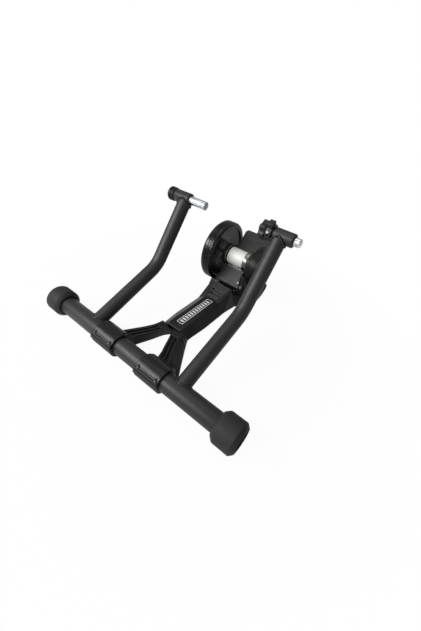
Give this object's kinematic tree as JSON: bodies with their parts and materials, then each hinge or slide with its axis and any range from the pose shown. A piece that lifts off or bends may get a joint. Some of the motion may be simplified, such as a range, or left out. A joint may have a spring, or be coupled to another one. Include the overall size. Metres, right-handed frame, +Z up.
{
  "type": "smart bike trainer",
  "caption": "Wheel-on bike trainer: folding tubular frame with axle clamps, cast Y-shaped stand, and a swinging resistance unit with roller, flywheel and brake.",
  "frame": {"origin": "on the floor, under the middle of the trainer's width and depth", "axes": "+X along the base tube towards the brake, +Y from the base tube to the resistance unit, +Z up"},
  "size_m": [0.666, 0.5916, 0.3312],
  "materials": {
    "frame_paint": "matte black powder coat on steel",
    "gloss_steel": "gloss black paint on steel",
    "plate_steel": "satin dark grey paint on pressed steel",
    "cast_alloy": "satin black paint on cast aluminium",
    "shell_alloy": "satin dark grey cast aluminium",
    "bright_steel": "polished plated steel",
    "plain_steel": "plain turned steel",
    "satin_alloy": "satin turned aluminium",
    "copper": "satin copper winding",
    "rubber": "matte",
    "plastic": "matte",
    "gloss_plastic": "gloss",
    "board": "satin"
  },
  "bodies": {
    "stand": {"y_beam": "cast_alloy", "clamp_shell_right": "shell_alloy", "clamp_shell_left": "shell_alloy", "clamp_bush_right": "plastic", "clamp_bush_left": "plastic", "clamp_bolt_right_inner": "bright_steel", "clamp_bolt_right_outer": "bright_steel", "clamp_bolt_left_inner": "bright_steel", "clamp_bolt_left_outer": "bright_steel", "badge_plate": "gloss_plastic", "latch_plate": "plate_steel", "foot_pad_right": "rubber", "foot_pad_left": "rubber", "pad_screw_right": "plain_steel", "pad_screw_left": "plain_steel", "hinge_pin": "plain_steel", "hinge_clip_right": "plain_steel", "hinge_clip_left": "plain_steel", "hinge_bush_right": "plastic", "hinge_bush_left": "plastic", "thrust_washer": "plain_steel"},
    "folding_frame": {"base_tube": "frame_paint", "end_cap_right": "rubber", "end_cap_left": "rubber", "arm_right": "frame_paint", "arm_left": "frame_paint", "barrel_right": "frame_paint", "barrel_left": "frame_paint", "thrust_bush": "plastic"},
    "left_knob": {"clamp_knob": "plastic", "clamp_screw": "plain_steel"},
    "left_cup": {"axle_cup_left": "bright_steel"},
    "right_cup": {"axle_cup_right": "plain_steel"},
    "right_wheel": {"adjuster_wheel": "plastic", "right_spindle": "bright_steel"},
    "lock_ring": {"lock_collar": "frame_paint", "collar_screw": "bright_steel"},
    "pressure_rod": {"pressure_screw": "plain_steel", "pressure_shoe": "plastic"},
    "pressure_grip": {"pressure_knob": "plastic"},
    "resistance_unit": {"unit_bracket": "plate_steel", "bracket_bolt": "bright_steel", "bearing_right": "plain_steel", "bearing_left": "plain_steel", "brake_housing": "cast_alloy", "housing_cover": "cast_alloy", "cover_screw_1": "plain_steel", "cover_screw_2": "plain_steel", "cover_screw_3": "plain_steel", "coil_carrier": "plain_steel", "coil_ring": "copper", "circuit_board": "board", "power_inlet": "plastic"},
    "spinner": {"roller": "satin_alloy", "flywheel": "gloss_steel", "flywheel_nut": "plain_steel", "brake_rotor": "plain_steel", "roller_shaft": "plain_steel"}
  },
  "joints": [
    {"name": "frame_fold", "type": "hinge", "parent": "stand", "child": "folding_frame", "pos_m": [0, -0.25712, 0.03875], "axis": [1, 0, 0], "range_deg": [-9, 22.8]},
    {"name": "clamp_knob_turn", "type": "hinge", "parent": "folding_frame", "child": "left_knob", "pos_m": [-0.205, 0.1061, 0.29863], "axis": [1, 0, 0], "range_deg": [-601, 1441]},
    {"name": "left_cup_slide", "type": "slide", "parent": "folding_frame", "child": "left_cup", "axis": [1, 0, 0], "range_m": [-0.01, 0.024]},
    {"name": "right_cup_slide", "type": "slide", "parent": "folding_frame", "child": "right_cup", "axis": [-1, 0, 0], "range_m": [0, 0.012]},
    {"name": "right_wheel_turn", "type": "hinge", "parent": "right_cup", "child": "right_wheel", "pos_m": [0.11, 0.1061, 0.29863], "axis": [1, 0, 0], "range_deg": [0, 2161]},
    {"name": "lock_collar_turn", "type": "hinge", "parent": "folding_frame", "child": "lock_ring", "pos_m": [0.1285, 0.1061, 0.29863], "axis": [1, 0, 0], "range_deg": [-45, 45]},
    {"name": "unit_swing", "type": "hinge", "parent": "stand", "child": "resistance_unit", "pos_m": [0, 0.15835, 0.05598], "axis": [1, 0, 0], "range_deg": [-5, 5]},
    {"name": "pressure_knob_turn", "type": "hinge", "parent": "stand", "child": "pressure_grip", "pos_m": [0, 0.24071, 0.06348], "axis": [0, 0.9397, -0.342], "range_deg": [-625, 625]},
    {"name": "pressure_screw_slide", "type": "slide", "parent": "stand", "child": "pressure_rod", "axis": [0, 0.9397, -0.342], "range_m": [-0.0036, 0.0036]},
    {"name": "roller_spin", "type": "hinge", "parent": "resistance_unit", "child": "spinner", "pos_m": [0, 0.19787, 0.1321], "axis": [1, 0, 0], "continuous": true}
  ],
  "couplings": [
    {"joint": "clamp_knob_turn", "follows": "left_cup_slide", "rad_per_m": 1047.2},
    {"joint": "right_wheel_turn", "follows": "right_cup_slide", "rad_per_m": 3141.6},
    {"joint": "pressure_knob_turn", "follows": "unit_swing", "ratio": -124.4},
    {"joint": "pressure_screw_slide", "follows": "unit_swing", "m_per_rad": -0.0396}
  ]
}
